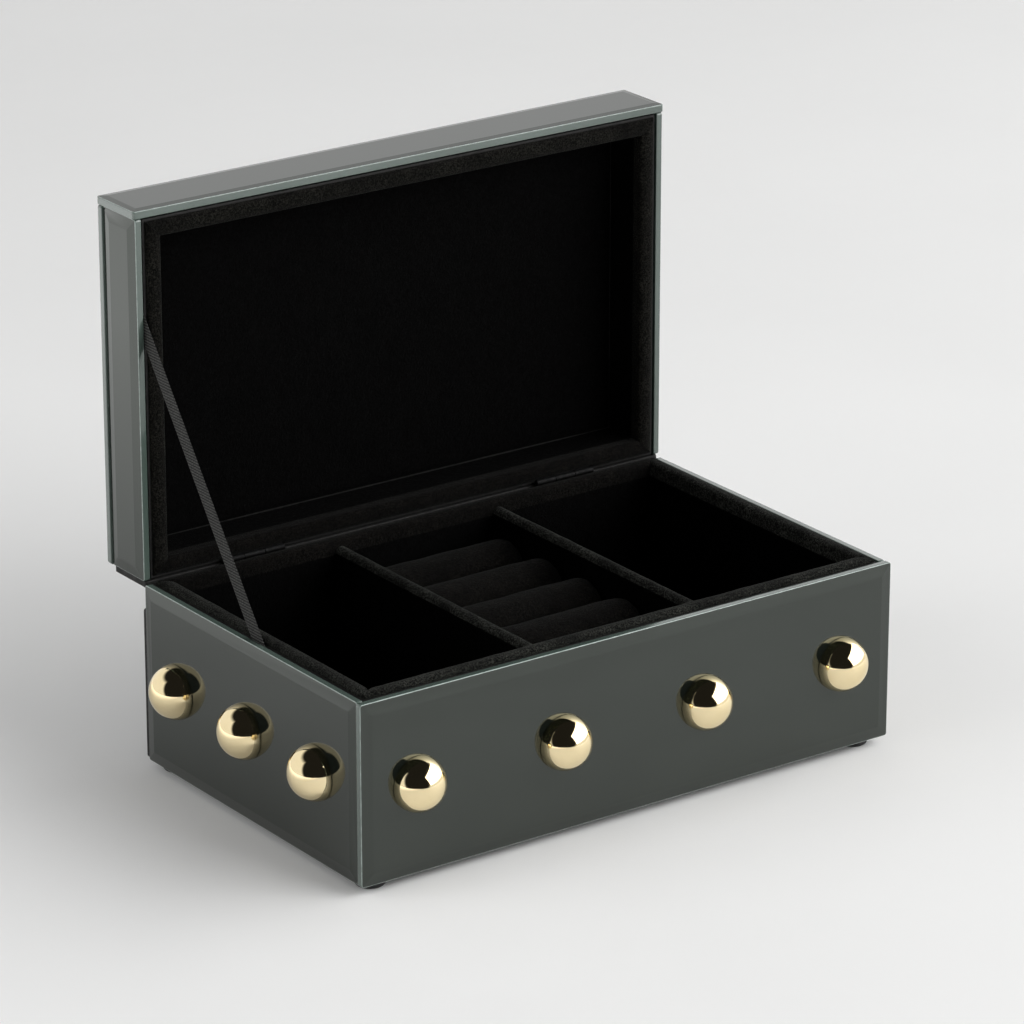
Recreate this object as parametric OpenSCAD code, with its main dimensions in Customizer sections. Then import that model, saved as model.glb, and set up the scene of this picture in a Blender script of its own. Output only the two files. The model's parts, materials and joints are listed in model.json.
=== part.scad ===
// Jewelry box: smoked mirror glass over a board carcass, brass dome studs, velvet lining,
// a hinged lid held by one ribbon, three compartments with ring rolls in the middle one.
// X runs along the front, Y from front to back, Z up. The origin lies on the table plane
// under the centre of the base.

/* [Box] */
// Width of the box over the glass
box_w = 250; // [220:1:300]
// Depth of the box over the glass
box_d = 153; // [140:0.5:190]
// Height of the base glass
base_h = 73.2; // [62:0.2:90]
// Height of the lid, glass edge to top face
lid_h = 26.5; // [24:0.5:34]
// Opening angle of the lid, 0 when shut
lid_angle = 90; // [0:1:90]

/* [Glass] */
// Thickness of the glass panes
glass_t = 3.5; // [3:0.1:4]
// Width of the bevel round each pane
bevel_w = 5; // [2:0.5:6]
// Depth that the bevel falls by at the pane's edge
bevel_drop = 0.8; // [0.2:0.1:1]
// Width of the bevel round the lid's front pane
front_bevel_w = 3; // [2:0.5:6]
// Depth that the lid's front bevel falls by at the pane's edge
front_bevel_drop = 0.4; // [0.2:0.1:1]
// Radius of the panes' corners
pane_corner_r = 1.2; // [0.5:0.1:2]
// Bonding tape between the glass and the boards
tape_t = 0.7; // [0.6:0.1:1]
// How far each end of a back pane stops short of the side
back_inset = 1.5; // [0:0.5:3]
// Height of bare board left above the base's back pane
back_reveal = 10.8; // [9:0.1:14]

/* [Boards] */
// Thickness of the base walls
wall_t = 5; // [4:0.5:6]
// Thickness of the lid walls
lid_wall_t = 6; // [5:0.5:7]
// Thickness of the base floor
floor_t = 5; // [3:0.5:6]
// Thickness of the lid board
lid_board_t = 3; // [2:0.5:4]

/* [Lining] */
// Thickness of the velvet lining on its card
skin_t = 1.4; // [1:0.1:2]
// Height of the padded rim above the wall
rim_t = 2.5; // [2:0.1:3]
// How far the base rim stands above the glass
rim_rise = 2; // [1.5:0.1:2.2]
// Gap between the base glass and the shut lid's glass
lid_gap = 3.8; // [3.8:0.1:4.4]
// Thickness of the floor pads
pad_t = 3; // [2:0.5:5]
// Thickness of the lid pad
lid_pad_t = 1.8; // [1.2:0.1:3]
// Thickness of a divider
divider_t = 5; // [3:0.5:7]
// Distance from the centre of the box to a divider
divider_x = 38; // [30:0.5:50]
// How far the dividers end below the base glass's top
divider_drop = 1; // [0.5:0.5:10]

/* [Ring rolls] */
// Number of ring rolls
roll_count = 5; // [5:1:5]
// How far the crests of the rolls lie below the base glass's top
roll_drop = 9; // [7:1:14]
// Gap between neighbouring rolls
roll_gap = 0.7; // [0.4:0.1:2]
// Height of the platform that carries the rolls
platform_h = 36; // [20:1:38]

/* [Studs] */
// Radius of a brass dome stud
stud_r = 11; // [8:0.5:13]
// Wall thickness of a stud
stud_wall = 1; // [0.8:0.1:1.5]
// Pitch of the front studs
stud_pitch_front = 66.7; // [50:0.1:68]
// Pitch of the side studs
stud_pitch_side = 48; // [34:0.5:50]
// How far the side studs sit behind the middle of the box
stud_shift = 2; // [0:0.5:4]

/* [Feet] */
// Height of the feet
foot_h = 3.7; // [2:0.1:6]
// Diameter of the feet
foot_d = 12; // [8:0.5:16]
// Distance from the glass faces to the centre of a foot
foot_inset = 10; // [9:0.5:20]

/* [Hinges] */
// Distance of a hinge from the centre of the box
hinge_x = 75; // [50:1:90]
// Length of a hinge
hinge_w = 28; // [24:1:40]
// Height of a hinge leaf beyond the knuckle
leaf_h = 9; // [8:0.5:9.5]

/* [Ribbon] */
// Width of the ribbon
ribbon_w = 7; // [4:0.5:10]
// Distance from the hinge to the ribbon along the lid
ribbon_lid = 100; // [80:0.5:110]
// Distance from the hinge to the ribbon along the base
ribbon_base = 74; // [60:0.5:90]

/* [Hidden] */
$fn = 64;

fit = 0.1;                                  // gap left between glued pieces
over = 1;                                   // how far a cutter runs past what it cuts
half_w = box_w / 2;
half_d = box_d / 2;
carcass_x = half_w - glass_t - tape_t;      // outer faces of the boards
carcass_y = half_d - glass_t - tape_t;
side_end = half_d - glass_t;                // where the side panes meet the front and back panes

cover_t = 1;
floor_z = foot_h + cover_t;
inside_z = floor_z + floor_t;               // top of the floor board
base_top = foot_h + base_h;
rim_z = base_top + rim_rise;                // top of the padded base rim
wall_z = rim_z - rim_t;                     // top of the base walls
inner_x = carcass_x - wall_t - fit - skin_t;      // lined faces inside the base
inner_y = carcass_y - wall_t - fit - skin_t;
back_glass_top = base_top - back_reveal;

lid_z = base_top + lid_gap;                 // edge of the shut lid's glass
lid_rim_z = rim_z + 0.2;                    // face of the shut lid's padded rim
lid_wall_z = lid_rim_z + 2.3;               // lower edge of the lid walls
lid_pane_h = lid_h - glass_t;               // height of the lid's side panes
lid_board_z = lid_z + lid_pane_h - 0.4 - lid_board_t;
lid_inner_x = carcass_x - lid_wall_t - fit - skin_t;
lid_inner_y = carcass_y - lid_wall_t - fit - skin_t;

knuckle_r = 1.25;
pin_r = 0.5;
pin_clearance = 0.05;
leaf_t = 0.6;
knuckle_gap = 0.2;                          // gap between neighbouring knuckles
hinge_y = carcass_y + leaf_t - knuckle_r;   // the knuckle's back lies flush with the leaves
hinge_z = base_top + 2.25;
screw_r = 0.8;
screw_head_r = 1.6;
screw_len = 4;
screw_pitch = 18;
screw_drop = 7;                             // height from the pin to the screws

middle_w = 2 * divider_x - divider_t;         // width of the middle compartment
side_w = inner_x - divider_x - divider_t / 2; // width of a side compartment
divider_z = base_top - divider_drop;
roll_pitch = 2 * inner_y / roll_count;
roll_r = (roll_pitch - roll_gap) / 2;
roll_z = base_top - roll_drop - roll_r;
platform_z = inside_z + fit + platform_h;
roll_len = middle_w - 0.7;

ribbon_t = 0.5;
ribbon_tuck = 7;                            // length hidden behind the lining at each end
ribbon_x = -carcass_x - tape_t / 2;         // middle of the gap between glass and boards

smoke = [0.26, 0.27, 0.27];
brass_colour = [0.83, 0.7, 0.42];
steel_colour = [0.1, 0.1, 0.1];
velvet_colour = [0.07, 0.07, 0.07];
board_colour = [0.16, 0.15, 0.14];
rubber_colour = [0.12, 0.12, 0.12];
ribbon_colour = [0.2, 0.2, 0.2];

// ---------- shared shapes ----------

// A box between two corners
module block(low, high) {
    translate(low) cube(high - low);
}

// Turns what is drawn as a panel in X and Y, facing +Z, to face out of one side of the box
module facing(turn) {
    rotate([0, 0, turn]) rotate([90, 0, 0]) children();
}

// A wedge that takes the bevel off one edge, drawn along Y at the edge x = w / 2
module bevel_cutter(w, run, wide, drop) {
    slope = drop / wide;
    translate([0, run / 2, 0]) rotate([90, 0, 0]) linear_extrude(run)
        polygon([[w / 2 - wide, glass_t], [w / 2 + over, glass_t - drop - over * slope],
                 [w / 2 + over, glass_t + over], [w / 2 - wide, glass_t + over]]);
}

// A flat slab with round corners, centred in X and Y
module round_slab(w, h, t, r) {
    union() {
        translate([-w / 2, r - h / 2, 0]) cube([w, h - 2 * r, t]);
        translate([r - w / 2, -h / 2, 0]) cube([w - 2 * r, h, t]);
        for (x = [r - w / 2, w / 2 - r], y = [r - h / 2, h / 2 - r])
            translate([x, y, 0]) cylinder(r = r, h = t);
    }
}

// A bevelled pane, centred in X and Y, with its back on Z = 0
module pane(w, h, wide = bevel_w, drop = bevel_drop) {
    color(smoke) difference() {
        round_slab(w, h, glass_t, pane_corner_r);
        for (turn = [0, 180]) rotate([0, 0, turn]) bevel_cutter(w, h + 2 * over, wide, drop);
        for (turn = [90, 270]) rotate([0, 0, turn]) bevel_cutter(h, w + 2 * over, wide, drop);
    }
}

// A hollow dome that stands on Z = 0
module stud() {
    color(brass_colour) difference() {
        sphere(stud_r);
        sphere(stud_r - stud_wall);
        translate([-stud_r - over, -stud_r - over, -stud_r - over])
            cube([2 * (stud_r + over), 2 * (stud_r + over), stud_r + over]);
    }
}

// A row of studs on one face, the row along X and centred
module stud_row(count, pitch, face, turn) {
    facing(turn) for (i = [0 : count - 1])
        translate([(i - (count - 1) / 2) * pitch, foot_h + base_h / 2, face]) stud();
}

// Cuts a strip that lies along +Y at the front of a rectangle to 45 degree mitres at both ends
module mitre(half_long, half_short, reach, low, high) {
    intersection() {
        children();
        translate([0, 0, low]) linear_extrude(high - low)
            polygon([[-half_long, -half_short], [half_long, -half_short],
                     [half_long - reach, reach - half_short], [reach - half_long, reach - half_short]]);
    }
}

// One strip of lining at the front of a rectangle: a rim over the wall's edge, from rim_low to
// rim_high, and a skin down the wall's inner face, from skin_low to skin_high
module liner(half_long, half_short, wall, rim_low, rim_high, skin_low, skin_high) {
    reach = wall + skin_t;
    low = min(rim_low, skin_low);
    high = max(rim_high, skin_high);
    mitre(half_long, half_short, reach, low, high) union() {
        block([-half_long, -half_short, rim_low], [half_long, reach - half_short, rim_high]);
        block([-half_long, wall - half_short, skin_low], [half_long, reach - half_short, skin_high]);
    }
}

// Moves what is drawn for the shut lid to the opening angle
module lid_pose() {
    translate([0, hinge_y, hinge_z]) rotate([-lid_angle, 0, 0])
        translate([0, -hinge_y, -hinge_z]) children();
}

// ---------- base: boards ----------

module base_floor() {
    color(board_colour)
        block([-carcass_x, -carcass_y, floor_z], [carcass_x, carcass_y, inside_z]);
}

module base_wall_front() {
    color(board_colour)
        block([-carcass_x, -carcass_y, inside_z + fit], [carcass_x, wall_t - carcass_y, wall_z]);
}

module base_wall_back() {
    color(board_colour) difference() {
        block([-carcass_x, carcass_y - wall_t, inside_z + fit], [carcass_x, carcass_y, wall_z]);
        screw_places(hinge_z - screw_drop) cylinder(r = screw_r + pin_clearance, h = 2 * screw_len, center = true);
    }
}

module base_side_wall(side) {
    x = side > 0 ? carcass_x - wall_t : -carcass_x;
    color(board_colour)
        block([x, wall_t + fit - carcass_y, inside_z + fit], [x + wall_t, carcass_y - wall_t - fit, wall_z]);
}

module underside_cover() {
    color(velvet_colour)
        block([-carcass_x, -carcass_y, foot_h], [carcass_x, carcass_y, floor_z - fit]);
}

module foot(x_side, y_side) {
    translate([x_side * (half_w - foot_inset), y_side * (half_d - foot_inset), 0])
        color(rubber_colour) union() {
            cylinder(r1 = foot_d / 2 - 0.8, r2 = foot_d / 2, h = 0.8);
            translate([0, 0, 0.8]) cylinder(d = foot_d, h = foot_h - 0.8);
        }
}

// ---------- base: glass and studs ----------

module base_glass_front() {
    translate([0, fit / 2 - side_end, foot_h + base_h / 2]) facing(0) pane(box_w, base_h);
}

module base_glass_back() {
    h = back_glass_top - foot_h;
    translate([0, side_end - fit / 2, foot_h + h / 2]) facing(180) pane(box_w - 2 * back_inset, h);
}

module base_glass_side(side) {
    translate([side * (half_w - glass_t), 0, foot_h + base_h / 2])
        facing(90 * side) pane(2 * side_end - 2 * fit, base_h);
}

module studs_front() {
    stud_row(4, stud_pitch_front, half_d, 0);
}

module studs_side(side) {
    translate([0, stud_shift, 0]) stud_row(3, stud_pitch_side, half_w, 90 * side);
}

// ---------- base: lining and inserts ----------

// A front or back strip of the base lining; turn is 0 for the front and 180 for the back
module base_long_liner(turn) {
    color(velvet_colour) rotate([0, 0, turn])
        liner(carcass_x, carcass_y, wall_t + fit, wall_z + fit, rim_z, inside_z + fit, rim_z);
}

module base_liner_back() {
    color(velvet_colour) difference() {
        base_long_liner(180);
        hinge_notches(wall_z - over, rim_z + over);
    }
}

module base_side_liner(side) {
    color(velvet_colour) rotate([0, 0, 90 * side])
        liner(carcass_y, carcass_x, wall_t + fit, wall_z + fit, rim_z, inside_z + fit, rim_z);
}

module divider(side) {
    r = divider_t / 2;
    low = inside_z + fit;
    color(velvet_colour) translate([side * divider_x, 0, 0]) union() {
        block([-r, fit - inner_y, low], [r, inner_y - fit, divider_z - r]);
        translate([0, 0, divider_z - r]) rotate([90, 0, 0])
            cylinder(r = r, h = 2 * (inner_y - fit), center = true);
    }
}

module floor_pad(side) {
    half = side_w / 2 - fit;
    color(velvet_colour) translate([side * (inner_x - side_w / 2), 0, inside_z + fit])
        block([-half, 2 * fit - inner_y, 0], [half, inner_y - 2 * fit, pad_t]);
}

module ring_platform() {
    color(velvet_colour)
        block([-roll_len / 2, 2 * fit - inner_y, inside_z + fit], [roll_len / 2, inner_y - 2 * fit, platform_z]);
}

// One ring roll, counted from the front: a padded roll that is flat where it is glued down
module ring_roll(i) {
    y = (i - (roll_count + 1) / 2) * roll_pitch;
    color(velvet_colour) difference() {
        translate([0, y, roll_z]) rotate([0, 90, 0]) cylinder(r = roll_r, h = roll_len, center = true);
        block([-roll_len, y - roll_pitch, roll_z - 2 * roll_r], [roll_len, y + roll_pitch, platform_z + fit]);
    }
}

// ---------- hinges ----------

// Repeats a hinge part at the two hinges' middles
module both_hinges() {
    for (side = [-1, 1]) translate([side * hinge_x, 0, 0]) children();
}

// Places drawn along the screw axes at one height, in the boards' back face; +Z points out of the face
module screw_places(z) {
    both_hinges() for (x = [-screw_pitch / 2, screw_pitch / 2])
        translate([x, carcass_y, z]) rotate([-90, 0, 0]) children();
}

// Room for the knuckles in a padded rim
module hinge_notches(low, high) {
    both_hinges() block([-hinge_w / 2 - 0.5, hinge_y - knuckle_r - 0.25, low],
                        [hinge_w / 2 + 0.5, carcass_y + over, high]);
}

// One leaf on the boards' back face. up is 1 for the lid's leaf, which has the middle knuckle,
// and -1 for the base's leaf, which has the two outer ones
module hinge_leaf(side, up) {
    third = hinge_w / 3;
    spans = up > 0 ? [[-third / 2, third / 2]]
                   : [[-hinge_w / 2, -third / 2 - knuckle_gap], [third / 2 + knuckle_gap, hinge_w / 2]];
    clear = knuckle_r + 0.15;
    plate = up > 0 ? [hinge_z + clear, hinge_z + clear + leaf_h] : [hinge_z - clear - leaf_h, hinge_z - clear];
    color(steel_colour) translate([side * hinge_x, 0, 0]) difference() {
        union() {
            block([-hinge_w / 2, carcass_y, plate[0]], [hinge_w / 2, carcass_y + leaf_t, plate[1]]);
            for (s = spans) {
                block([s[0], carcass_y, min(hinge_z, plate[0])], [s[1], carcass_y + leaf_t, max(hinge_z, plate[1])]);
                translate([s[0], hinge_y, hinge_z]) rotate([0, 90, 0]) cylinder(r = knuckle_r, h = s[1] - s[0]);
            }
        }
        translate([0, hinge_y, hinge_z]) rotate([0, 90, 0])
            cylinder(r = pin_r + pin_clearance, h = hinge_w + 2 * over, center = true);
        for (x = [-screw_pitch / 2, screw_pitch / 2])
            translate([x, carcass_y, hinge_z + up * screw_drop]) rotate([-90, 0, 0])
                translate([0, 0, -0.01]) cylinder(r1 = screw_r + pin_clearance,
                    r2 = screw_head_r + pin_clearance, h = leaf_t + 0.02);
    }
}

module hinge_pin(side) {
    color(steel_colour) translate([side * hinge_x, hinge_y, hinge_z]) rotate([0, 90, 0])
        cylinder(r = pin_r, h = hinge_w, center = true);
}

module screws(z) {
    color(steel_colour) screw_places(z) union() {
        translate([0, 0, 1 - screw_len]) cylinder(r = screw_r, h = screw_len - 1 + 0.05);
        cylinder(r1 = screw_r, r2 = screw_head_r, h = leaf_t);
    }
}

// ---------- lid, drawn shut ----------

module lid_board() {
    color(board_colour)
        block([-carcass_x, -carcass_y, lid_board_z], [carcass_x, carcass_y, lid_board_z + lid_board_t]);
}

module lid_wall_front() {
    color(board_colour)
        block([-carcass_x, -carcass_y, lid_wall_z], [carcass_x, lid_wall_t - carcass_y, lid_board_z - fit]);
}

module lid_wall_back() {
    color(board_colour) difference() {
        block([-carcass_x, carcass_y - lid_wall_t, lid_wall_z], [carcass_x, carcass_y, lid_board_z - fit]);
        screw_places(hinge_z + screw_drop) cylinder(r = screw_r + pin_clearance, h = 2 * screw_len, center = true);
    }
}

module lid_side_wall(side) {
    x = side > 0 ? carcass_x - lid_wall_t : -carcass_x;
    end = carcass_y - lid_wall_t - fit;
    color(board_colour) block([x, -end, lid_wall_z], [x + lid_wall_t, end, lid_board_z - fit]);
}

module lid_glass_top() {
    translate([0, 0, lid_z + lid_pane_h]) pane(box_w, 2 * side_end - fit);
}

// The lid's front pane covers the front edge of its top pane, and has a narrower bevel
module lid_glass_front() {
    translate([0, fit / 2 - side_end, lid_z + lid_h / 2]) facing(0)
        pane(box_w, lid_h, front_bevel_w, front_bevel_drop);
}

module lid_glass_back() {
    translate([0, side_end + fit / 2, lid_z + (lid_pane_h - fit) / 2])
        facing(180) pane(box_w - 2 * back_inset, lid_pane_h - fit);
}

module lid_glass_side(side) {
    translate([side * (half_w - glass_t), 0, lid_z + (lid_pane_h - fit) / 2])
        facing(90 * side) pane(2 * side_end - 2 * fit, lid_pane_h - fit);
}

// Room behind the hinge line, where the open lid's lining would meet the base
module lid_back_trim() {
    block([-half_w, hinge_y - 0.15, lid_rim_z - over], [half_w, half_d, lid_wall_z]);
}

module lid_long_liner(turn) {
    color(velvet_colour) difference() {
        rotate([0, 0, turn]) liner(carcass_x, carcass_y, lid_wall_t + fit,
            lid_rim_z, lid_wall_z - fit, lid_rim_z, lid_board_z - fit);
        lid_back_trim();
        if (turn == 180) hinge_notches(lid_rim_z - over, lid_wall_z);
    }
}

module lid_side_liner(side) {
    color(velvet_colour) difference() {
        rotate([0, 0, 90 * side]) liner(carcass_y, carcass_x, lid_wall_t + fit,
            lid_rim_z, lid_wall_z - fit, lid_rim_z, lid_board_z - fit);
        lid_back_trim();
    }
}

module lid_pad() {
    color(velvet_colour)
        block([fit - lid_inner_x, fit - lid_inner_y, lid_board_z - fit - lid_pad_t],
              [lid_inner_x - fit, lid_inner_y - fit, lid_board_z - fit]);
}

// ---------- ribbon ----------

// The ribbon's place in the lid, as Y and Z from the hinge, at the opening angle
function ribbon_top() = [hinge_y - ribbon_lid * cos(lid_angle) + (lid_z - hinge_z) * sin(lid_angle),
                         hinge_z + ribbon_lid * sin(lid_angle) + (lid_z - hinge_z) * cos(lid_angle)];

// A flat ribbon, drawn tight between its place in the lid and its place in the base
module ribbon_stay() {
    low = [hinge_y - ribbon_base, base_top];
    top = ribbon_top();
    run = norm(top - low);
    lean = atan2(top[1] - low[1], top[0] - low[0]);
    color(ribbon_colour) translate([ribbon_x, low[0], low[1]]) rotate([lean, 0, 0])
        block([-ribbon_t / 2, -ribbon_tuck, -ribbon_w / 2], [ribbon_t / 2, run + ribbon_tuck, ribbon_w / 2]);
}

// ---------- nodes ----------

base_floor();
base_wall_front();
base_wall_back();
base_side_wall(-1);  // base_wall_left
base_side_wall(1);  // base_wall_right
base_glass_front();
base_glass_back();
base_glass_side(-1);  // base_glass_left
base_glass_side(1);  // base_glass_right
base_long_liner(0);  // base_liner_front
base_liner_back();
base_side_liner(-1);  // base_liner_left
base_side_liner(1);  // base_liner_right
divider(-1);  // divider_left
divider(1);  // divider_right
floor_pad(-1);  // floor_pad_left
floor_pad(1);  // floor_pad_right
ring_platform();
for (i = [1 : roll_count])
    ring_roll(i);
underside_cover();
foot(-1, -1);  // foot_front_left
foot(1, -1);  // foot_front_right
foot(-1, 1);  // foot_back_left
foot(1, 1);  // foot_back_right
studs_front();
studs_side(-1);  // studs_left
studs_side(1);  // studs_right
hinge_leaf(-1, -1);  // hinge_leaf_base_left
hinge_leaf(1, -1);  // hinge_leaf_base_right
lid_pose() hinge_leaf(-1, 1);  // hinge_leaf_lid_left
lid_pose() hinge_leaf(1, 1);  // hinge_leaf_lid_right
hinge_pin(-1);  // hinge_pin_left
hinge_pin(1);  // hinge_pin_right
screws(hinge_z - screw_drop);  // hinge_screws_base
lid_pose() screws(hinge_z + screw_drop);  // hinge_screws_lid
lid_pose() lid_board();
lid_pose() lid_wall_front();
lid_pose() lid_wall_back();
lid_pose() lid_side_wall(-1);  // lid_wall_left
lid_pose() lid_side_wall(1);  // lid_wall_right
lid_pose() lid_glass_top();
lid_pose() lid_glass_front();
lid_pose() lid_glass_back();
lid_pose() lid_glass_side(-1);  // lid_glass_left
lid_pose() lid_glass_side(1);  // lid_glass_right
lid_pose() lid_long_liner(0);  // lid_liner_front
lid_pose() lid_long_liner(180);  // lid_liner_back
lid_pose() lid_side_liner(-1);  // lid_liner_left
lid_pose() lid_side_liner(1);  // lid_liner_right
lid_pose() lid_pad();
ribbon_stay();
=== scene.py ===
"""The looks of the jewelry box: smoked mirror glass, brass domes, velvet lining and a ribbon stay."""

import json
import math

import bmesh
import bpy
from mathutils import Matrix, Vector, noise

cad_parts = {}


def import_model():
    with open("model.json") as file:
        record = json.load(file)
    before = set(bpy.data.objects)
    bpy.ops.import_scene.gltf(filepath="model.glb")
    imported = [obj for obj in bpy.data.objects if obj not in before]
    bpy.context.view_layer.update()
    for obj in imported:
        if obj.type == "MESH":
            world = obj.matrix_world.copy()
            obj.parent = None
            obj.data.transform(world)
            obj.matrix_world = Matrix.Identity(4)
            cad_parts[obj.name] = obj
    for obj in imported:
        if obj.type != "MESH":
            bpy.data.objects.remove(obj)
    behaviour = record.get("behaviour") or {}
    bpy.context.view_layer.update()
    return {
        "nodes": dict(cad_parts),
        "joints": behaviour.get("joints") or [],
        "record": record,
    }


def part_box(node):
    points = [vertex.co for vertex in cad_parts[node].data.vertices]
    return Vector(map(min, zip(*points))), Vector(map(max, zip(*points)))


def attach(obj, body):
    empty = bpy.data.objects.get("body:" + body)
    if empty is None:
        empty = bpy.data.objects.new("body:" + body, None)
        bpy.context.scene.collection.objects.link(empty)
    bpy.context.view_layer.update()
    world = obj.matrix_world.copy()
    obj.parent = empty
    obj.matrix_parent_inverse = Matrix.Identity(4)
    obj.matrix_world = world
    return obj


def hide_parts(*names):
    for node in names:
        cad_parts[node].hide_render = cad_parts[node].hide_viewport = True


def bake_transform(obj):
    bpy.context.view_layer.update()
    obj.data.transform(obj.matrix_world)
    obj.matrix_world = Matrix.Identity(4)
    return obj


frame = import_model()
NODES = frame["nodes"]
MM = 0.001
HINGE = Vector(frame["joints"][0]["pos_m"])

# The panes, and the way that each faces with the lid open
PANES = {
    "base_glass_front": (0, -1, 0), "base_glass_back": (0, 1, 0),
    "base_glass_left": (-1, 0, 0), "base_glass_right": (1, 0, 0),
    "lid_glass_top": (0, 1, 0), "lid_glass_front": (0, 0, 1), "lid_glass_back": (0, 0, -1),
    "lid_glass_left": (-1, 0, 0), "lid_glass_right": (1, 0, 0),
}
HINGE_PARTS = [n for n in NODES if n.startswith("hinge_")]
FEET = [n for n in NODES if n.startswith("foot_")]
BOARDS = [n for n in NODES if "wall" in n or n in ("base_floor", "lid_board")]
BODY_OF = {n: b for b, ns in frame["record"]["behaviour"]["bodies"].items() for n in ns}


# ---------- materials ----------

# Short names of the Principled shader's own sockets
SOCKETS = {
    "ior": "IOR", "metallic": "Metallic", "coat": "Coat Weight", "coat_rough": "Coat Roughness",
    "specular": "Specular IOR Level", "specular_tint": "Specular Tint",
    "sheen": "Sheen Weight", "sheen_rough": "Sheen Roughness", "sheen_tint": "Sheen Tint",
}


class Nodes:
    """A node tree and short ways to add nodes to it."""

    def __init__(self, tree):
        self.tree = tree

    def node(self, kind, **values):
        """A new node, whose inputs and settings take the given values."""
        made = self.tree.nodes.new(kind)
        for key, value in values.items():
            if key in made.inputs:
                made.inputs[key].default_value = value
            else:
                setattr(made, key, value)
        return made

    def link(self, a, b):
        self.tree.links.new(a, b)

    def mix(self, fac, a, b, kind="MIX"):
        made = self.node("ShaderNodeMix", data_type="RGBA", blend_type=kind)
        for socket, value in ((made.inputs[0], fac), (made.inputs[6], a), (made.inputs[7], b)):
            if isinstance(value, bpy.types.NodeSocket):
                self.link(value, socket)
            else:
                socket.default_value = value
        return made.outputs[2]

    def dot(self, vector, way):
        """How far the vector points along a fixed way."""
        made = self.node("ShaderNodeVectorMath", operation="DOT_PRODUCT")
        made.inputs[1].default_value = way
        self.link(vector, made.inputs[0])
        return made.outputs["Value"]


class Shader(Nodes):
    """A material with a Principled shader, whose own sockets are set by the short names above."""

    def __init__(self, name, **sockets):
        self.material = bpy.data.materials.new(name)
        self.material.use_nodes = True
        super().__init__(self.material.node_tree)
        self.bsdf = self.tree.nodes["Principled BSDF"]
        for key, value in sockets.items():
            self.bsdf.inputs[SOCKETS[key]].default_value = value

    def place(self, scale=(1, 1, 1)):
        """The object's own coordinates, in metres."""
        found = self.node("ShaderNodeTexCoord").outputs["Object"]
        mapping = self.node("ShaderNodeMapping", Scale=scale)
        self.link(found, mapping.inputs["Vector"])
        return mapping.outputs["Vector"]

    def noise(self, scale, detail=4.0, rough=0.6, stretch=(1, 1, 1)):
        made = self.node("ShaderNodeTexNoise", Scale=scale, Detail=detail, Roughness=rough)
        self.link(self.place(stretch), made.inputs["Vector"])
        return made.outputs["Fac"]

    def ramp(self, fac, low, high, start=0.35, end=0.65):
        """From low at start to high at end, each a colour or a plain number."""
        made = self.node("ShaderNodeValToRGB")
        for element, value, position in zip(made.color_ramp.elements, (low, high), (start, end)):
            element.position = position
            element.color = (*value, 1) if hasattr(value, "__len__") else (value, value, value, 1)
        self.link(fac, made.inputs["Fac"])
        return made.outputs["Color"]

    def bump(self, height, strength, distance):
        """Adds a bump on top of any that the shader has already."""
        made = self.node("ShaderNodeBump", Strength=strength, Distance=distance)
        self.link(height, made.inputs["Height"])
        last = self.bsdf.inputs["Normal"]
        if last.is_linked:
            self.link(last.links[0].from_socket, made.inputs["Normal"])
        self.link(made.outputs["Normal"], last)

    def colour(self, socket):
        self.link(socket, self.bsdf.inputs["Base Color"])

    def rough(self, socket):
        self.link(socket, self.bsdf.inputs["Roughness"])


def smoked_glass():
    """Dark smoked mirror: a near black body whose face is all gloss, with faint wipe marks and the
    very slight wave of float glass."""
    s = Shader("smoked_glass", ior=1.66, specular_tint=(0.93, 1.0, 0.93, 1))
    s.colour(s.ramp(s.noise(14, 2), (0.0050, 0.0066, 0.0052), (0.0078, 0.0098, 0.0080)))
    s.rough(s.ramp(s.noise(260, 6, 0.7), 0.012, 0.035, 0.45, 0.8))
    s.bump(s.noise(9, 1), 0.02, 0.0004)
    return s.material


def glass_edge():
    """The ground edge of the glass, pale green and slightly frosted."""
    s = Shader("glass_edge", ior=1.52, coat=1.0, coat_rough=0.05)
    s.colour(s.ramp(s.noise(14, 2, 0.5), (0.050, 0.074, 0.062), (0.074, 0.102, 0.088)))
    s.rough(s.ramp(s.noise(120, 3), 0.20, 0.27))
    return s.material


def ground_arris_highlight():
    """The narrow arris round a pane, left matt by the grinding, and painted paler than the edge as a
    highlight.
    """
    s = Shader("ground_arris_highlight", ior=1.52, coat=1.0, coat_rough=0.08)
    s.colour(s.ramp(s.noise(300, 3, 0.5), (0.17, 0.21, 0.19), (0.26, 0.31, 0.29)))
    s.rough(s.ramp(s.noise(500, 3), 0.20, 0.35))
    return s.material


def polished_brass():
    """The studs' brass, with very fine scratches."""
    s = Shader("stud_brass", metallic=1.0)
    s.colour(s.ramp(s.noise(120, 5, 0.6), (0.91, 0.76, 0.46), (0.95, 0.80, 0.50)))
    scratches = s.noise(900, 8, 0.75, (1, 1, 6))
    s.rough(s.ramp(scratches, 0.055, 0.095, 0.4, 0.8))
    s.bump(s.noise(160, 2), 0.04, 0.0003)
    s.bump(scratches, 0.02, 0.00005)
    return s.material


def black_steel():
    """Blackened steel of the hinges and their screws, rubbed a little brighter in spots."""
    s = Shader("hinge_steel", metallic=0.8)
    s.colour(s.ramp(s.noise(500, 5, 0.7), (0.003, 0.003, 0.003), (0.012, 0.012, 0.012), 0.45, 0.8))
    s.rough(s.ramp(s.noise(900, 5, 0.7), 0.50, 0.72))
    s.bump(s.noise(1600, 4), 0.1, 0.0001)
    return s.material


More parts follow.
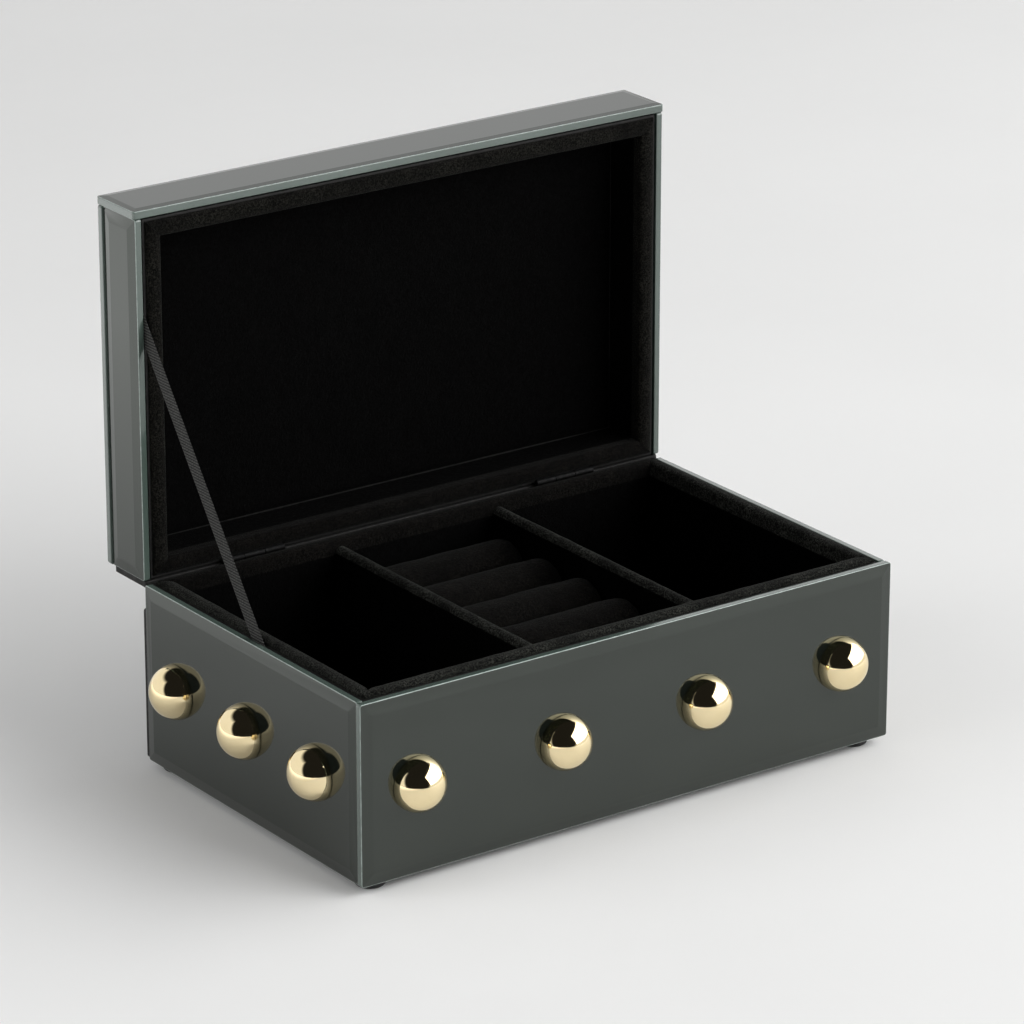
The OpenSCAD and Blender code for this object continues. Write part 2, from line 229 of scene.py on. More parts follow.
def velvet(name, low, high, sheen):
    """Black pile: patches that lean apart, a speckle of tips, and a sheen where it is seen edge on."""
    s = Shader(name, sheen=sheen, sheen_rough=0.38, sheen_tint=(0.80, 0.82, 0.80, 1), specular=0.05)
    patches = s.ramp(s.noise(70, 5, 0.65), 0.35, 1.0, 0.35, 0.68)
    tips = s.ramp(s.noise(1500, 3, 0.8), 0.0, 1.0, 0.46, 0.62)
    s.colour(s.mix(s.mix(1.0, patches, tips, "MULTIPLY"), (*low, 1), (*high, 1)))
    s.rough(s.ramp(s.noise(900, 3), 0.80, 0.98))
    s.bump(s.noise(1100, 4, 0.8), 0.80, 0.0007)
    s.bump(s.noise(240, 4, 0.6), 0.35, 0.0010)
    return s.material


def board_paper():
    """Black paper over the carcass boards, and the tape on the back panes' edges."""
    s = Shader("board_paper", specular=0.25)
    s.colour(s.ramp(s.noise(700, 5, 0.7), (0.010, 0.010, 0.010), (0.022, 0.021, 0.020)))
    s.rough(s.ramp(s.noise(300, 4), 0.55, 0.75))
    s.bump(s.noise(1800, 4), 0.25, 0.0002)
    return s.material


def felt():
    """Black felt, its fibres drawn out along one way."""
    s = Shader("felt", sheen=0.25, sheen_rough=0.5, specular=0.1)
    s.colour(s.ramp(s.noise(1400, 6, 0.75, (1, 0.35, 1)), (0.008, 0.008, 0.008), (0.035, 0.034, 0.033)))
    s.rough(s.ramp(s.noise(500, 3), 0.85, 1.0))
    s.bump(s.noise(1600, 5, 0.75), 0.6, 0.0004)
    return s.material


def foot_rubber():
    """Matt black rubber."""
    s = Shader("foot_rubber", specular=0.35)
    s.colour(s.ramp(s.noise(400, 4), (0.008, 0.008, 0.008), (0.018, 0.018, 0.018)))
    s.rough(s.ramp(s.noise(900, 4), 0.45, 0.65))
    s.bump(s.noise(2500, 3), 0.2, 0.0001)
    return s.material


def ribbon_cloth():
    """Black ribbed ribbon with a twill; the ribs themselves are in the mesh."""
    s = Shader("ribbon_cloth", sheen=0.08, sheen_rough=0.3, sheen_tint=(0.9, 0.9, 0.9, 1), specular=0.15)
    grain = s.ramp(s.noise(1800, 4, 0.7), (0.026, 0.026, 0.025), (0.060, 0.060, 0.057))
    twill = s.node("ShaderNodeTexWave", wave_type="BANDS", bands_direction="Z", Scale=280.0, Distortion=0.4)
    s.link(s.place(), twill.inputs["Vector"])
    lines = s.ramp(twill.outputs["Fac"], 0.03, 1.0, 0.30, 0.60)
    s.colour(s.mix(1.0, grain, lines, "MULTIPLY"))
    s.rough(s.ramp(s.noise(1200, 3), 0.50, 0.75))
    s.bump(s.noise(4200, 3), 0.4, 0.0001)
    return s.material


# One velvet in four copies. The rims and the dividers' tops take the lightest; the lid's rims, the rolls and
# what lies deep in the box take darker copies: painted shade, where the pile lies in shadow.
GLASS = smoked_glass()
EDGE = glass_edge()
ARRIS_HIGHLIGHT = ground_arris_highlight()
STUD_BRASS = polished_brass()
HINGE_STEEL = black_steel()
RIM_VELVET = velvet("rim_velvet", (0.0010, 0.0010, 0.0010), (0.058, 0.060, 0.052), 0.035)
# Darker copy for the lid's rims: painted shade.
LID_SHADE_VELVET = velvet("lid_shade_velvet", (0.0006, 0.0006, 0.0005), (0.024, 0.023, 0.019), 0.03)
# Darker copy for the rolls and the base's back rim: painted shade.
ROLL_SHADE_VELVET = velvet("roll_shade_velvet", (0.0006, 0.0006, 0.0005), (0.0120, 0.0108, 0.0090), 0.03)
# Darkest copy for the rim skins, divider sides, pads and ring platform: painted shade.
DEEP_SHADE_VELVET = velvet("deep_shade_velvet", (0.0001, 0.0001, 0.0001), (0.0016, 0.0016, 0.0015), 0.003)
BOARD = board_paper()
FELT = felt()
RUBBER = foot_rubber()
RIBBON = ribbon_cloth()


# ---------- mesh helpers ----------

def link_object(name, data):
    made = bpy.data.objects.new(name, data)
    bpy.context.scene.collection.objects.link(made)
    return made


def new_object(name, verts, faces, material):
    mesh = bpy.data.meshes.new(name)
    mesh.from_pydata([tuple(v) for v in verts], [], faces)
    mesh.validate()
    mesh.update()
    mesh.materials.append(material)
    mesh.polygons.foreach_set("use_smooth", [True] * len(mesh.polygons))
    return link_object(name, mesh)


def object_from(work, name, material):
    """Turns a finished bmesh into an object."""
    mesh = bpy.data.meshes.new(name)
    work.to_mesh(mesh)
    work.free()
    mesh.materials.append(material)
    return link_object(name, mesh)


def tube_faces(sections, n):
    """The faces between sections of n points each."""
    faces = []
    for i in range(sections - 1):
        for k in range(n):
            a, b = i * n + k, i * n + (k + 1) % n
            faces.append((a, b, b + n, a + n))
    return faces


def end_faces(sections, n):
    """The faces that close the first and the last section."""
    last = (sections - 1) * n
    return [tuple(range(n)), tuple(range(last, last + n))[::-1]]


def fix_normals(piece):
    mesh = bmesh.new()
    mesh.from_mesh(piece.data)
    bmesh.ops.recalc_face_normals(mesh, faces=mesh.faces)
    mesh.to_mesh(piece.data)
    mesh.free()


def apply_modifiers(piece):
    """Replaces the piece's mesh by what its modifiers make of it."""
    graph = bpy.context.evaluated_depsgraph_get()
    mesh = bpy.data.meshes.new_from_object(piece.evaluated_get(graph))
    piece.modifiers.clear()
    old = piece.data
    piece.data = mesh
    bpy.data.meshes.remove(old)


def arrised(node, width, segments=3, angle=25):
    """A copy of a CAD node whose sharp edges are rounded off, with no material yet."""
    piece = link_object(node + "_piece", NODES[node].data.copy())
    mesh = bmesh.new()
    mesh.from_mesh(piece.data)
    bmesh.ops.remove_doubles(mesh, verts=mesh.verts, dist=1e-6)
    bmesh.ops.dissolve_limit(mesh, angle_limit=math.radians(1), verts=mesh.verts, edges=mesh.edges)
    mesh.to_mesh(piece.data)
    mesh.free()
    bevel = piece.modifiers.new("arris", "BEVEL")
    bevel.width = width
    bevel.segments = segments
    bevel.limit_method = "ANGLE"
    bevel.angle_limit = math.radians(angle)
    apply_modifiers(piece)
    piece.data.materials.clear()
    return piece


def stand_for(piece, node):
    """Hides the node, and gives the piece its body."""
    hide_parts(node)
    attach(piece, BODY_OF[node])


def keep_creases(mesh, large=12 * MM * MM, least=math.radians(4)):
    """Marks the edges between two large faces sharp, however little they bend."""
    work = bmesh.new()
    work.from_mesh(mesh)
    for edge in work.edges:
        faces = edge.link_faces
        if len(faces) == 2 and min(f.calc_area() for f in faces) > large and edge.calc_face_angle() > least:
            edge.smooth = False
    work.to_mesh(mesh)
    work.free()


def smooth_by_angle(piece, degrees, flat_faces=False):
    """Smooths the shading between faces that meet at less than the angle. With flat_faces the large
    faces keep their own flat normals, so that they reflect straight."""
    mesh = piece.data
    mesh.polygons.foreach_set("use_smooth", [True] * len(mesh.polygons))
    mesh.set_sharp_from_angle(angle=math.radians(degrees))
    if flat_faces:
        keep_creases(mesh)
        weighted = piece.modifiers.new("weighted", "WEIGHTED_NORMAL")
        weighted.mode = "FACE_AREA"
        weighted.weight = 100
        weighted.keep_sharp = True
        apply_modifiers(piece)


def lumps(point, size, amount, seed=0.0):
    """A smooth random height at a point, from -amount to amount, that varies over about size."""
    return noise.noise(Vector(point) / size + Vector((seed, seed * 1.7, -seed))) * amount


# ---------- glass ----------

PANE_ARRIS = 0.35 * MM


def pane_slot(towards):
    """The material of a face, by how squarely it faces the pane's own way: face and bevel, arris, edge."""
    if towards > 0.95:
        return 0
    return 2 if towards > 0.5 else 1


def make_panes():
    for node, way in PANES.items():
        piece = arrised(node, PANE_ARRIS)
        out = Vector(way)
        # The arris slot's paler glass is a painted highlight along the panes' edges.
        for material in (GLASS, BOARD if node.endswith("_back") else EDGE, ARRIS_HIGHLIGHT):
            piece.data.materials.append(material)
        for face in piece.data.polygons:
            face.material_index = pane_slot(face.normal.dot(out))
        smooth_by_angle(piece, 35, flat_faces=True)
        stand_for(piece, node)


# ---------- brass ----------

# The studs' nodes, with the way that each row faces and its number of domes
STUDS = {"studs_front": ((0, -1, 0), 4), "studs_left": ((-1, 0, 0), 3), "studs_right": ((1, 0, 0), 3)}
STUD_WALL = 1.0 * MM
STUD_RIM = 0.35 * MM          # radius of the roll at the dome's foot
STUD_TURN = 64                # points round a dome


def dome_profile(r):
    """The outline of a dome, from its apex out and down to the rim and back inside."""
    points = []
    for i in range(31):
        a = i / 30 * math.radians(88)
        points.append((r * math.sin(a), r * math.cos(a)))
    for i in range(1, 5):
        a = i / 4 * math.pi / 2
        points.append((r - STUD_RIM * (1 - math.cos(a)), STUD_RIM * (1 - math.sin(a))))
    inner = r - STUD_WALL
    for i in range(13):
        a = i / 12 * math.radians(85)
        points.append((inner * math.cos(a), inner * math.sin(a)))
    return points


def add_dome(verts, faces, centre, out, profile):
    """Turns the outline about the way out from the pane, and closes the inside with one face."""
    side = out.cross(Vector((0, 0, 1)))
    start = len(verts)
    verts.append(centre + out * profile[0][1])
    for radius, height in profile[1:]:
        for k in range(STUD_TURN):
            a = 2 * math.pi * k / STUD_TURN
            round_about = side * (radius * math.cos(a)) + Vector((0, 0, radius * math.sin(a)))
            verts.append(centre + out * height + round_about)
    for k in range(STUD_TURN):
        faces.append((start, start + 1 + k, start + 1 + (k + 1) % STUD_TURN))
    for ring in range(len(profile) - 2):
        a = start + 1 + ring * STUD_TURN
        for k in range(STUD_TURN):
            after = (k + 1) % STUD_TURN
            faces.append((a + k, a + STUD_TURN + k, a + STUD_TURN + after, a + after))
    faces.append(tuple(range(len(verts) - STUD_TURN, len(verts))))


def make_studs():
    for node, (way, count) in STUDS.items():
        low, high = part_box(node)
        out = Vector(way)
        along = Vector((abs(out.y), abs(out.x), 0))
        r = (high.z - low.z) / 2
        first = along.dot(low) + r
        step = (along.dot(high) - along.dot(low) - 2 * r) / (count - 1)
        face = max(low.dot(out), high.dot(out)) - r
        middle = out * face + Vector((0, 0, (low.z + high.z) / 2))
        profile = dome_profile(r)
        verts, faces = [], []
        for i in range(count):
            add_dome(verts, faces, along * (first + i * step) + middle, out, profile)
        piece = new_object(node + "_piece", verts, faces, STUD_BRASS)
        fix_normals(piece)
        stand_for(piece, node)


# ---------- hinges, feet and hidden boards ----------

def make_rounded(nodes, material, arris, segments, angle, smooth):
    """Pieces that are their CAD nodes with rounded edges and a material."""
    for node in nodes:
        piece = arrised(node, arris, segments, angle)
        piece.data.materials.append(material)
        smooth_by_angle(piece, smooth, flat_faces=True)
        stand_for(piece, node)


def paint(node, material):
    NODES[node].data.materials.clear()
    NODES[node].data.materials.append(material)


# ---------- velvet strips ----------

SECTION_STEP = 1.6 * MM       # spacing of the sections that velvet is swept through
CREST_POINTS = 15             # points over a rim's rounded top
RIM_SETBACK = 0.9 * MM        # from the boards' outer face to the rim's outer foot
RIM_FLOOR = 0.15 * MM         # between the velvet and the board under it
RIM_ROOM = 0.15 * MM          # between a rim's crest and its CAD face, so that the shut rims stay apart
SKIN = 1.3 * MM               # thickness of the lining below a rim
SEAM_GAP = 0.06 * MM          # left at each end of a strip
SEAM_DEPTH = 0.55 * MM        # how far a strip tucks in at the seam
SEAM_WIDTH = 0.9 * MM         # how far from the end the tuck reaches
HINGE_ROOM = 1.6 * MM         # between the pins' axis and the velvet


def nap(place, size, seed):
    """The height of uneven pile at a place: broad waves of about size, and fine ones."""
    return lumps(place, size, 0.16 * MM, seed) + lumps(place, 2.2 * MM, 0.07 * MM, seed + 3)


class Side:
    """One side of a rim. A strip's along, inward and height lead from here into the frame."""

    def __init__(self, centre, along, inward, up, half_long, half_short):
        self.centre, self.along, self.inward, self.up = (Vector(v) for v in (centre, along, inward, up))
        self.half_long, self.half_short = half_long, half_short

    def at(self, along, inward, height):
        from_middle = inward - self.half_short
        return self.centre + self.along * along + self.inward * from_middle + self.up * height


def four_sides(centre, depth, to_back, up, half_x, half_depth):
    """The sides of a rim round a centre. The left and right ones run along depth."""
    across = Vector((1, 0, 0))
    return {
        "front": Side(centre, across, to_back, up, half_x, half_depth),
        "back": Side(centre, across, -Vector(to_back), up, half_x, half_depth),
        "left": Side(centre, depth, across, up, half_depth, half_x),
        "right": Side(centre, depth, -across, up, half_depth, half_x),
    }


def rim_profile(reach, wall_edge, rim_face, skin_end):
    """The closed outline of a padded rim and its skin, as pairs of inward and height."""
    low, crest, skin_low = wall_edge + RIM_FLOOR, rim_face - RIM_ROOM, skin_end + RIM_FLOOR
    middle, half = (reach + RIM_SETBACK) / 2, (reach - RIM_SETBACK) / 2
    points = []
    for i in range(CREST_POINTS):
        a = math.pi * (1 - i / (CREST_POINTS - 1))
        c, s = math.cos(a), math.sin(a)
        inward = middle + half * math.copysign(abs(c) ** 0.95, c)
        points.append((inward, low + (crest - low) * abs(s) ** 0.85))
    count = max(2, round(abs(low - skin_low) / (4 * MM)))
    for i in range(1, count + 1):
        points.append((reach, low + (skin_low - low) * i / count))
    return points + [(reach - SKIN, skin_low), (reach - SKIN, low), (RIM_SETBACK + 0.2 * MM, low)]


def make_strip(name, node, side, profile, material, seed, notches, notch_reach):
    """Sweeps a rim's outline along one side, with mitred ends that tuck in slightly at the seam."""
    count = round(2 * side.half_long / SECTION_STEP)
    reach = max(p[0] for p in profile)
    crest = max((p[1] for p in profile), key=abs)
    verts = []
    for i in range(count + 1):
        for inward, height in profile:
            length = side.half_long - inward - SEAM_GAP
            along = (-1 + 2 * i / count) * length
            into = inward
            if any(abs(along - middle) < half for middle, half in notches):
                into = max(into, notch_reach)
            below_crest = abs(height - crest)
            wave, tuck = 0.0, 0.0
            if inward >= reach * 0.25:
                wave = nap(side.at(along, into, height), 9 * MM, seed)
                if below_crest < 2 * MM:
                    tuck = SEAM_DEPTH * math.exp(-((length - abs(along)) / SEAM_WIDTH) ** 2)
            inner_wave = 0.5 * wave if inward >= reach * 0.95 else 0.0
            rise = (wave - tuck) * (1.0 if below_crest < 1.2 * MM else 0.25)
            verts.append(side.at(along, into + inner_wave, height) + side.up * rise)
    n = len(profile)
    piece = new_object(name, verts, tube_faces(count + 1, n) + end_faces(count + 1, n), material)
    # Below the crest the skin takes the darkest velvet: painted shade down into the box.
    piece.data.materials.append(DEEP_SHADE_VELVET)
    for i, face in enumerate(piece.data.polygons[:count * n]):
        face.material_index = 0 if i % n < CREST_POINTS else 1
    fix_normals(piece)
    smooth_by_angle(piece, 50)
    stand_for(piece, node)


def make_rim(part, sides, profile, velvet_on_top, first_seed, back_profile, notch_reach):
    """The four strips of a rim. The back one takes a darker velvet, painted shade, and leaves room for the
    hinges' knuckles.
    """
    notches = []
    for pin in ("hinge_pin_left", "hinge_pin_right"):
        low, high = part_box(pin)
        notches.append(((low.x + high.x) / 2, (high.x - low.x) / 2 + 0.6 * MM))
    for i, (name, side) in enumerate(sides.items()):
        seed = first_seed + 5.0 * i
        strip, liner = f"{part}_rim_{name}", f"{part}_liner_{name}"
        if name == "back":
            make_strip(strip, liner, side, back_profile, ROLL_SHADE_VELVET, seed, notches, notch_reach)
        else:
            make_strip(strip, liner, side, profile, velvet_on_top, seed, (), 0.0)


def make_base_rim():
    low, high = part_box("base_wall_front")
    half_x, half_y = high.x, -low.y
    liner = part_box("base_liner_front")[1]
    profile = rim_profile(liner.y + half_y, high.z, liner.z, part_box("base_floor")[1].z)
    sides = four_sides((0, 0, 0), (0, 1, 0), (0, 1, 0), (0, 0, 1), half_x, half_y)
    make_rim("base", sides, profile, RIM_VELVET, 0.0, profile, half_y - (HINGE.y - HINGE_ROOM))


def make_lid_rim():
    """The lid's rim faces the front while the lid stands open: its height runs towards -Y."""
    half_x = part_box("base_wall_front")[1].x
    board_low, board_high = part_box("lid_board")
    liner_low, liner_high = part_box("lid_liner_front")
    half_z = (board_high.z - board_low.z) / 2
    centre = (0, 0, (board_low.z + board_high.z) / 2)
    wall_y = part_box("lid_wall_front")[0].y
    profile = rim_profile(liner_high.z - liner_low.z, -wall_y, -liner_low.y, -board_low.y)
    low_edge = centre[2] - half_z
    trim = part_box("lid_liner_back")[0].z - low_edge + 0.1 * MM
    back_profile = [(max(inward, trim), height) for inward, height in profile]
    sides = four_sides(centre, (0, 0, 1), (0, 0, -1), (0, -1, 0), half_x, half_z)
    # The lid's rims take a darker velvet than the base's: painted shade.
    make_rim("lid", sides, profile, LID_SHADE_VELVET, 31.0, back_profile, HINGE.z + HINGE_ROOM - low_edge)


# ---------- dividers ----------

def divider_outline(half, low, high):
    """A divider's section, as pairs of X and Z: upright sides and a round top."""
    shoulder = high - half
    up = [(-half, low + (shoulder - low) * i / 12) for i in range(12)]
    over = []
    for i in range(13):
        a = math.pi * i / 12
        over.append((-half * math.cos(a), shoulder + half * math.sin(a)))
    return up + over + [(half, z) for _, z in reversed(up)]


def make_dividers():
    for seed, node in enumerate(("divider_left", "divider_right")):
        low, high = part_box(node)
        half = (high.x - low.x) / 2
        middle = (high.x + low.x) / 2
        outline = divider_outline(half, low.z, high.z)
        count = round((high.y - low.y) / SECTION_STEP)
        verts = []
        for i in range(count + 1):
            y = low.y + (high.y - low.y) * i / count
            for x, z in outline:
                place = Vector((middle + x, y, z))
                wave = nap(place, 10 * MM, seed + 70)
                top = max(0.0, (z - (high.z - half)) / half)
                verts.append(place + Vector((math.copysign(wave, x) * (1 - top), 0, wave * top)))
        n = len(outline)
        faces = tube_faces(count + 1, n) + end_faces(count + 1, n)
        piece = new_object(node + "_velvet", verts, faces, RIM_VELVET)
        # The sides below the round top take the darkest velvet: painted shade.
        piece.data.materials.append(DEEP_SHADE_VELVET)
        for face in piece.data.polygons:
            face.material_index = 0 if face.center.z > high.z - 1.6 * half else 1
        fix_normals(piece)
        smooth_by_angle(piece, 50)
        stand_for(piece, node)


# ---------- padded pieces ----------

def inflate(piece, voxel, cap, pressure=4.0, frames=20):
    """Puffs the piece up as cloth held from inside, and lets no point move further than cap."""
    remesh = piece.modifiers.new("remesh", "REMESH")
    remesh.mode = "VOXEL"
    remesh.voxel_size = voxel
    apply_modifiers(piece)
    start = [v.co.copy() for v in piece.data.vertices]
    cloth = piece.modifiers.new("cloth", "CLOTH")
    cloth.settings.use_pressure = True
    cloth.settings.uniform_pressure_force = pressure
    cloth.settings.effector_weights.gravity = 0
    cloth.settings.tension_stiffness = 12
    cloth.settings.compression_stiffness = 12
    cloth.settings.bending_stiffness = 0.3
    cloth.point_cache.frame_start = 1
    cloth.point_cache.frame_end = frames
    for i in range(1, frames + 1):
        bpy.context.scene.frame_set(i)
    apply_modifiers(piece)
    bpy.context.scene.frame_set(1)
    for vertex, old in zip(piece.data.vertices, start):
        moved = vertex.co - old
        if moved.length > cap:
            vertex.co = old + moved * (cap / moved.length)


def subdivide(piece):
    smooth = piece.modifiers.new("subdivision", "SUBSURF")
    smooth.levels = 1
    smooth.render_levels = 1
    apply_modifiers(piece)


ROLL_END = 3.0 * MM           # length of a roll's rounded end
ROLL_TURN = 32                # points round a roll


def roll_mesh(name, length, r):
    """A roll along X whose ends are rounded over, centred on the origin."""
    outline = [(-length / 2, r * 0.35)]
    for i in range(6, -1, -1):
        a = math.pi / 2 * i / 6
        outline.append((-length / 2 + ROLL_END * (1 - math.sin(a)), r - ROLL_END * (1 - math.cos(a)) * 0.8))
    middle = [(-length / 2 + ROLL_END + (length - 2 * ROLL_END) * i / 16, r) for i in range(1, 16)]
    outline += middle + [(-x, q) for x, q in reversed(outline)]
    verts = []
    for x, q in outline:
        for k in range(ROLL_TURN):
            a = 2 * math.pi * k / ROLL_TURN
            verts.append((x, q * math.cos(a), q * math.sin(a)))
    ends = [face[::-1] for face in end_faces(len(outline), ROLL_TURN)]
    return new_object(name, verts, tube_faces(len(outline), ROLL_TURN) + ends, DEEP_SHADE_VELVET)


def roll_pile(co, half_length, seed):
    """How far a roll's cover stands out at a place: lumps, small pleats along X, and drawn in at the ends."""
    pleats = lumps((co.x * 0.35, co.y, co.z), 3.5 * MM, 0.14 * MM, 7.0 * seed)
    pull = 0.5 * MM * math.exp(-((abs(co.x) - half_length) / (4 * MM)) ** 2)
    return lumps(co, 12 * MM, 0.35 * MM, 11.0 * seed) + pleats - pull


def make_rolls():
    for i in range(1, 6):
        node = f"ring_roll_{i}"
        low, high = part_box(node)
        r = (high.y - low.y) / 2
        centre = Vector((0, (low.y + high.y) / 2, high.z - r))
        piece = roll_mesh(node + "_padded", high.x - low.x - 0.6 * MM, r - 0.7 * MM)
        inflate(piece, 1.9 * MM, 1.1 * MM)
        subdivide(piece)
        for vertex in piece.data.vertices:
            co = vertex.co
            around = Vector((0, co.y, co.z))
            if around.length > 1e-6:
                around.normalize()
            co += around * roll_pile(co, (high.x - low.x) / 2, i)
            co += centre
            co.x = min(max(co.x, low.x + 0.05 * MM), high.x - 0.05 * MM)
            co.y = min(max(co.y, low.y - 0.25 * MM), high.y + 0.25 * MM)
            co.z = max(co.z, low.z + 0.05 * MM)
        smooth_by_angle(piece, 70)
        # The rolls take a darker velvet: painted shade in the slots.
        piece.data.materials[0] = ROLL_SHADE_VELVET
        stand_for(piece, node)


# The pads: the axis that each is thin along, the way that its face points, and its cloth's cell size
PADS = {"floor_pad_left": (2, 1, 1.5 * MM), "floor_pad_right": (2, 1, 1.5 * MM), "lid_pad": (1, -1, 1.7 * MM)}
PAD_ROOM = 0.02 * MM          # kept between a pad's cover and the back and sides of its box


def pad_mesh(name, low, high, soft):
    """A flat pad between two corners with rounded edges."""
    work = bmesh.new()
    bmesh.ops.create_cube(work, size=1.0)
    size = high - low
    for vertex in work.verts:
        vertex.co = Vector([low[k] + (vertex.co[k] + 0.5) * size[k] for k in range(3)])
    bmesh.ops.bevel(work, geom=work.edges[:], offset=soft, segments=3, affect="EDGES", profile=0.6)
    return object_from(work, name, DEEP_SHADE_VELVET)


def ruffle_pad(piece, low, high, axis, way, seed):
    """Makes the pad's cover uneven, most at its face, and keeps its back and sides within its box."""
    face, back = (high[axis], low[axis]) if way > 0 else (low[axis], high[axis])
    for vertex in piece.data.vertices:
        co = vertex.co
        share = min(1.0, max(0.0, abs(co[axis] - back) / abs(face - back)))
        rise = lumps(co, 22 * MM, 0.35 * MM, 17.0 * seed) + lumps(co, 6 * MM, 0.10 * MM, seed)
        co[axis] += way * share * rise
        co[axis] = max(co[axis], back + PAD_ROOM) if way > 0 else min(co[axis], back - PAD_ROOM)
        for other in range(3):
            if other != axis:
                co[other] = min(max(co[other], low[other] + PAD_ROOM), high[other] - PAD_ROOM)


def make_pads():
    # The pads and the ring platform take the darkest velvet: painted shade.
    for seed, (node, (axis, way, voxel)) in enumerate(PADS.items()):
        low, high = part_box(node)
        inset = Vector((0.5 * MM,) * 3)
        inset[axis] = 0.05 * MM
        piece = pad_mesh(node + "_padded", low + inset, high - inset, 0.8 * MM)
        inflate(piece, voxel, 0.45 * MM, 2.0, 12)
        subdivide(piece)
        ruffle_pad(piece, low, high, axis, way, seed)
        smooth_by_angle(piece, 60)
        stand_for(piece, node)
    paint("ring_platform", DEEP_SHADE_VELVET)


# ---------- ribbon ----------

RIB_PITCH = 0.95 * MM
RIB_STEPS = 4                 # sections to a rib
RIBBON_LANES = 14             # strips across one face


def ribbon_corners():
    """The corners of the CAD ribbon, the lower end's first."""
    return sorted([v.co.copy() for v in NODES["ribbon_stay"].data.vertices], key=lambda p: p.z)


def ribbon_ends(corners):
    """The middle of the lower end and of the upper end."""
    x = sum(p.x for p in corners) / len(corners)
    half = len(corners) // 2
    ends = []
    for group in (corners[:half], corners[half:]):
        y = sum(p.y for p in group) / len(group)
        z = sum(p.z for p in group) / len(group)
        ends.append(Vector((x, y, z)))
    return ends


def ribbon_section(centre, across, width, rib, t):
    """The points round the ribbon at one place, a rib's height from 0 to 1 and t the way along."""
    points = []
    for front in (1, -1):
        for k in range(RIBBON_LANES + 1):
            w = (k / RIBBON_LANES - 0.5) * width * front
            hem = 1 - abs(2 * w / width) ** 6 * 0.55
            thick = (0.13 + 0.11 * rib) * MM * hem
            cup = 0.05 * MM * math.cos(math.pi * w / width) * math.sin(math.pi * t)
            points.append(centre + across * w + Vector((front * thick + cup, 0, 0)))
    return points


def make_ribbon():
    """A flat ribbed ribbon, tight from its pocket in the base to its pocket in the lid."""
    corners = ribbon_corners()
    low_end, high_end = ribbon_ends(corners)
    across = (high_end - low_end).normalized().cross(Vector((1, 0, 0))).normalized()
    width = max(abs((p - low_end).dot(across)) for p in corners) * 2
    length = (high_end - low_end).length
    count = round(length / RIB_PITCH) * RIB_STEPS
    verts, path = [], []
    for i in range(count + 1):
        t = i / count
        centre = low_end.lerp(high_end, t)
        path.append(tuple(centre))
        rib = 0.5 + 0.5 * math.cos(2 * math.pi * i / RIB_STEPS)
        verts += ribbon_section(centre, across, width, rib, t)
    n = 2 * (RIBBON_LANES + 1)
    faces = tube_faces(count + 1, n) + end_faces(count + 1, n)
    piece = new_object("ribbon_stay_cloth", verts, faces, RIBBON)
    fix_normals(piece)
    smooth_by_angle(piece, 60)
    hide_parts("ribbon_stay")
    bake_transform(piece)


# ---------- studio ----------

CLEAR = 1.0                   # how bright the studio is to reflections
DARK = 0.013                  # how bright its dark parts are


def camera():
    data = bpy.data.cameras.new("camera")
    made = link_object("camera", data)
    made.location = (-1.1232, -1.5622, 0.8229)
    ahead = Vector((0.54585, 0.76086, -0.35091))
    made.rotation_euler = ahead.to_track_quat("-Z", "Y").to_euler()
    data.sensor_width = 36
    data.lens = 187.2
    data.clip_end = 50
    bpy.context.scene.camera = made


def area_light(name, place, target, width, height, power, reflected=True):
    data = bpy.data.lights.new(name, "AREA")
    data.shape = "RECTANGLE"
    data.size, data.size_y = width, height
    data.energy = power
    made = link_object(name, data)
    made.location = place
    made.rotation_euler = (Vector(target) - Vector(place)).to_track_quat("-Z", "Y").to_euler()
    made.visible_camera = False
    made.visible_glossy = reflected


def floor():
    """A pale round floor with an added glow towards the left."""
    s = Shader("studio_floor", specular=0.2)
    s.colour(s.ramp(s.noise(3, 2), (0.80, 0.80, 0.795), (0.82, 0.82, 0.815)))
    s.rough(s.ramp(s.noise(40, 3), 0.6, 0.75))
    to_left = s.dot(s.place(), (-0.95, 0.30, 0))
    s.link(s.ramp(to_left, 0.0, 0.65, 0.24, 0.55), s.bsdf.inputs["Emission Color"])
    s.bsdf.inputs["Emission Strength"].default_value = 1.0
    work = bmesh.new()
    bmesh.ops.create_circle(work, cap_ends=True, radius=14, segments=96)
    object_from(work, "studio_floor", s.material)


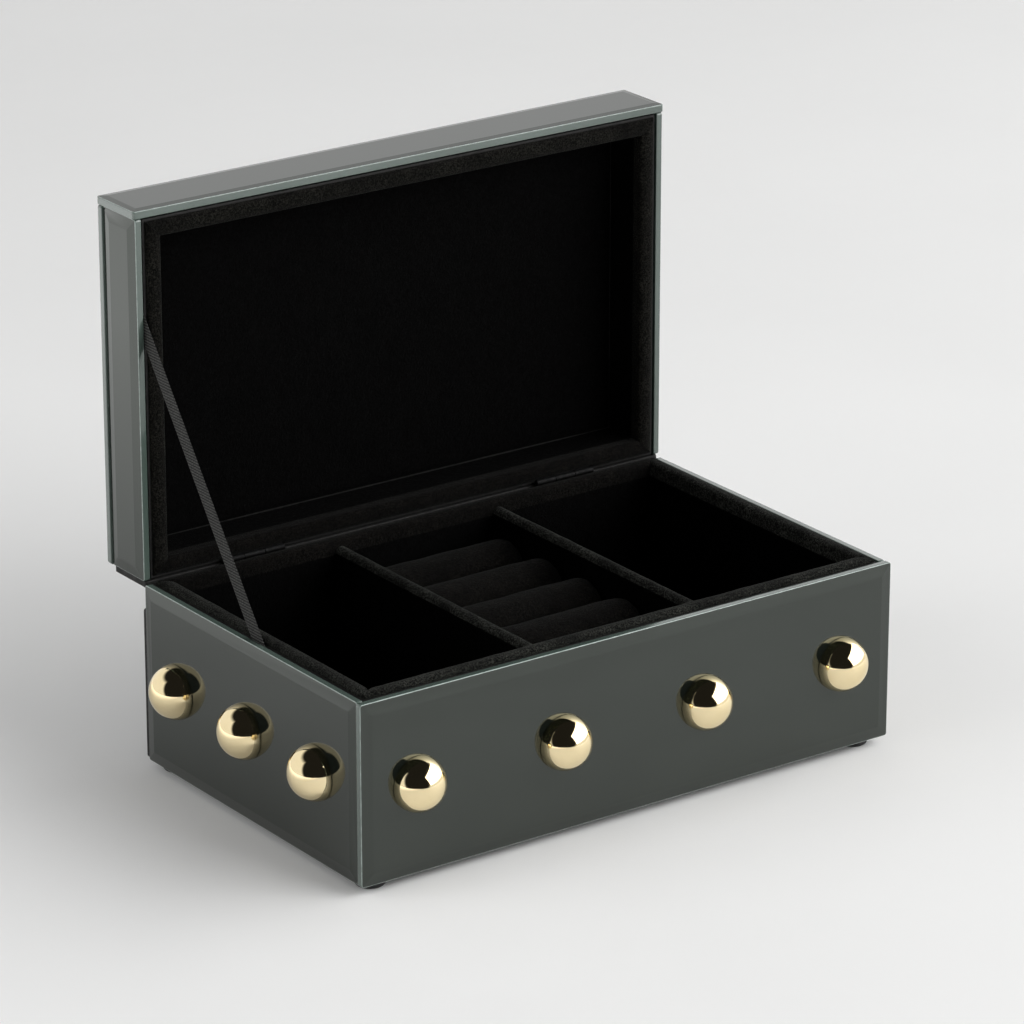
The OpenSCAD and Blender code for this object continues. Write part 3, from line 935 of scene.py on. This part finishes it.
def dark_towards(nodes, direction, way, start, end):
    """Falls from clear to dark as the direction's dot with a fixed way goes from start to end."""
    ramp = nodes.node("ShaderNodeMapRange", interpolation_type="SMOOTHSTEP")
    for name, value in (("From Min", start), ("From Max", end), ("To Min", CLEAR), ("To Max", DARK)):
        ramp.inputs[name].default_value = value
    nodes.link(nodes.dot(direction, way), ramp.inputs["Value"])
    return ramp.outputs["Result"]


def world():
    """A pale studio with a dark patch round the camera's place and a dark ceiling. Only reflections
    see it: the floor and the box are lit evenly, and the camera sees plain grey."""
    made = bpy.data.worlds.new("studio")
    bpy.context.scene.world = made
    made.use_nodes = True
    nodes = Nodes(made.node_tree)
    direction = nodes.node("ShaderNodeTexCoord").outputs["Generated"]
    patch = dark_towards(nodes, direction, (-0.505, -0.704, 0.50), 0.53, 0.69)
    ceiling = dark_towards(nodes, direction, (0, 0, 1), 0.62, 0.80)
    colour = nodes.mix(1.0, patch, ceiling, "DARKEN")
    colour = nodes.mix(1.0, colour, (0.92, 0.92, 0.92, 1), "MULTIPLY")
    rays = nodes.node("ShaderNodeLightPath").outputs
    colour = nodes.mix(rays["Is Diffuse Ray"], colour, (0.34, 0.34, 0.34, 1))
    colour = nodes.mix(rays["Is Camera Ray"], colour, (0.80, 0.80, 0.80, 1))
    background = nodes.tree.nodes["Background"]
    nodes.link(colour, background.inputs["Color"])
    background.inputs["Strength"].default_value = 1.0


def studio():
    floor()
    world()
    area_light("key_right", (2.2, -1.6, 1.65), (0, 0, 0.05), 5.4, 2.6, 134)
    area_light("fill_left", (-2.1, 0.5, 1.2), (-0.3, 0.1, 0.0), 2.0, 1.2, 19, reflected=False)
    area_light("front", (1.0, -1.9, 1.9), (0.1, -0.5, 0), 1.8, 1.2, 13, reflected=False)
    view = bpy.context.scene.view_settings
    view.view_transform = "Standard"
    view.look = "None"


camera()
make_ribbon()
make_panes()
make_studs()
make_rounded(HINGE_PARTS, HINGE_STEEL, 0.12 * MM, 2, 30, 35)
make_rounded(FEET, RUBBER, 0.5 * MM, 3, 40, 40)
for board in BOARDS:
    paint(board, BOARD)
paint("underside_cover", FELT)
make_base_rim()
make_lid_rim()
make_dividers()
make_rolls()
make_pads()
studio()
